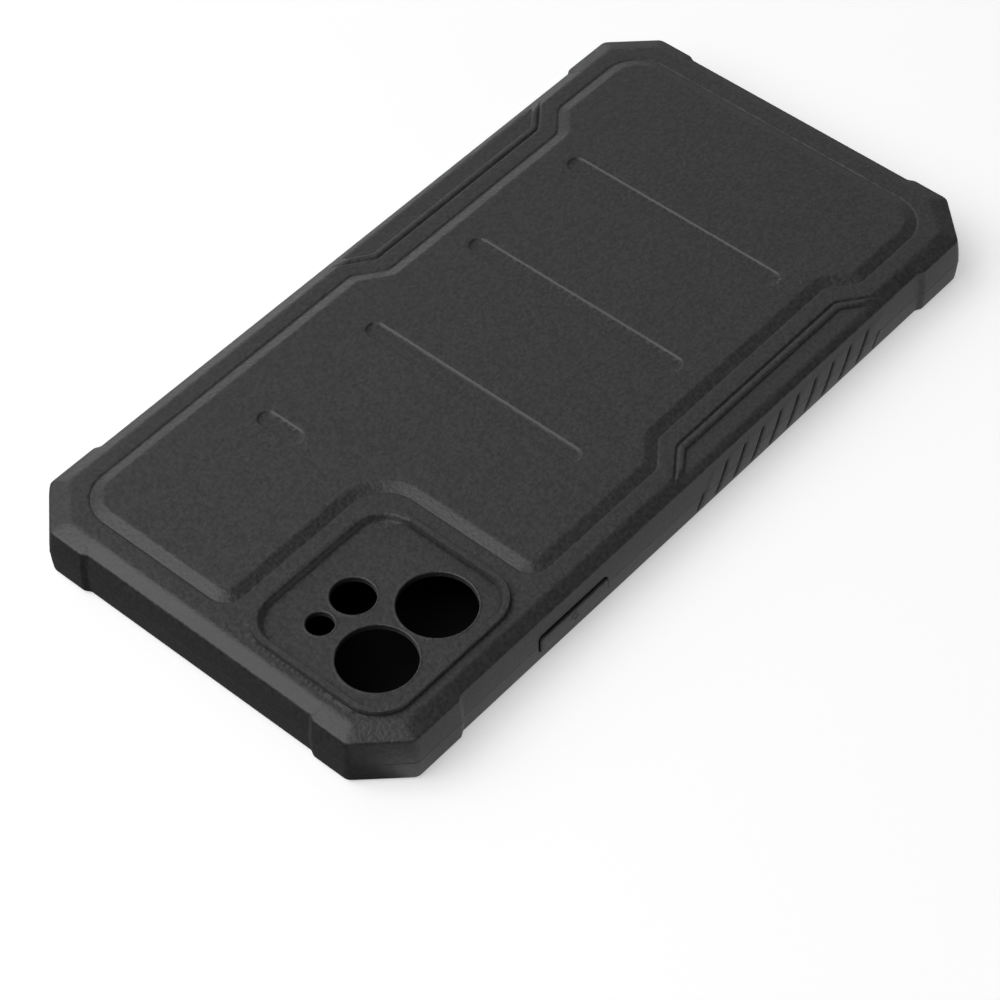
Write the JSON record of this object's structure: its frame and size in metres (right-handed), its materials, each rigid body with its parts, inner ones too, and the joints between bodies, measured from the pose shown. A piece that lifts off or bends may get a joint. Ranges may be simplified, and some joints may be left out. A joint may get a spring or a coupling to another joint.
{
  "type": "phone case",
  "caption": "Rugged soft-plastic phone case with bumper corners, raised slotted back panel, sunken camera surround, side grips and press-in button covers.",
  "frame": {"origin": "middle of the case in plan, on the plane of its front rim, which it lies on face down", "axes": "+Z out of the back; +X towards the power-button side; -Y towards the camera end; +Y towards the charging end"},
  "size_m": [0.0802, 0.1554, 0.0112],
  "materials": {
    "shell_plastic": "matte",
    "cover_plastic": "matte"
  },
  "bodies": {
    "shell": {"case_shell": "shell_plastic"},
    "power_button": {"power_button_cover": "cover_plastic"},
    "volume_up_button": {"volume_up_cover": "cover_plastic"},
    "volume_down_button": {"volume_down_cover": "cover_plastic"}
  },
  "joints": [
    {"name": "power_press", "type": "slide", "parent": "shell", "child": "power_button", "axis": [-1, 0, 0], "range_m": [0, 0.0004]},
    {"name": "volume_up_press", "type": "slide", "parent": "shell", "child": "volume_up_button", "axis": [1, 0, 0], "range_m": [0, 0.0004]},
    {"name": "volume_down_press", "type": "slide", "parent": "shell", "child": "volume_down_button", "axis": [1, 0, 0], "range_m": [0, 0.0004]}
  ]
}
